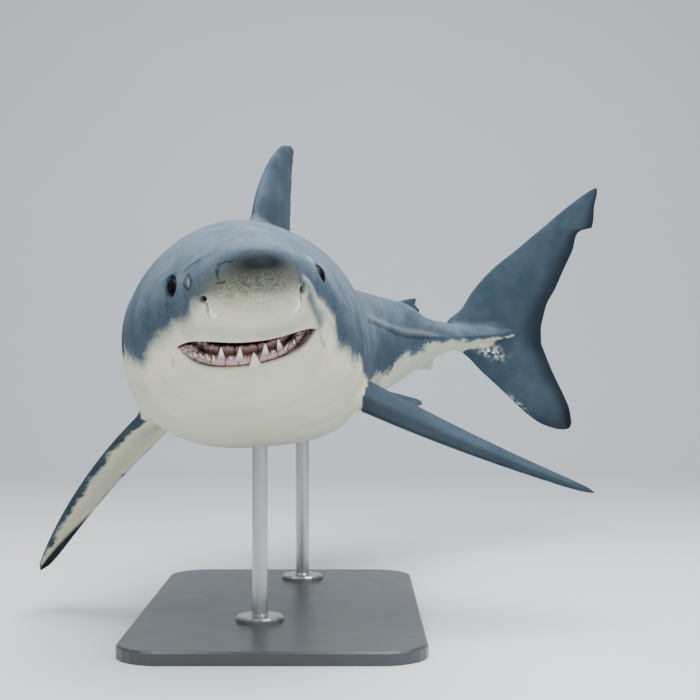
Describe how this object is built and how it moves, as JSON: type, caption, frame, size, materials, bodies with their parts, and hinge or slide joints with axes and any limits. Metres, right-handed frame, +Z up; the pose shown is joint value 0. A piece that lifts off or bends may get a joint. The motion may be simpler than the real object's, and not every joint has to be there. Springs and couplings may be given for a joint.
{
  "type": "great white shark",
  "caption": "Life-size great white shark in a turning, banking swim, mouth a little open, held over a flat stand by two short rods.",
  "frame": {"origin": "centre of the stand base's underside, below the fish's centre of gravity", "axes": "+Z up; the fish swims towards -Y with its left side at +X, and its tail curves round to +X"},
  "size_m": [2.178, 3.238, 1.6189],
  "materials": {
    "skin": "countershaded shark skin, slate above and cream below, satin",
    "gums_and_teeth": "wet mauve gum with ivory teeth",
    "eyes": "blue-black, wet gloss",
    "base": "satin charcoal lacquer",
    "rods": "brushed"
  },
  "bodies": {
    "root": {"head": "skin", "lower_jaw": "skin", "trunk": "skin", "tail_stalk": "skin", "fin_caudal": "skin", "fin_dorsal_first": "skin", "fin_dorsal_second": "skin", "fin_anal": "skin", "fin_pectoral_left": "skin", "fin_pectoral_right": "skin", "fin_pelvic_left": "skin", "fin_pelvic_right": "skin", "gum_upper": "gums_and_teeth", "gum_lower": "gums_and_teeth", "eye_left": "eyes", "eye_right": "eyes", "stand_base": "base", "stand_rod_front": "rods", "stand_rod_rear": "rods"}
  },
  "joints": []
}
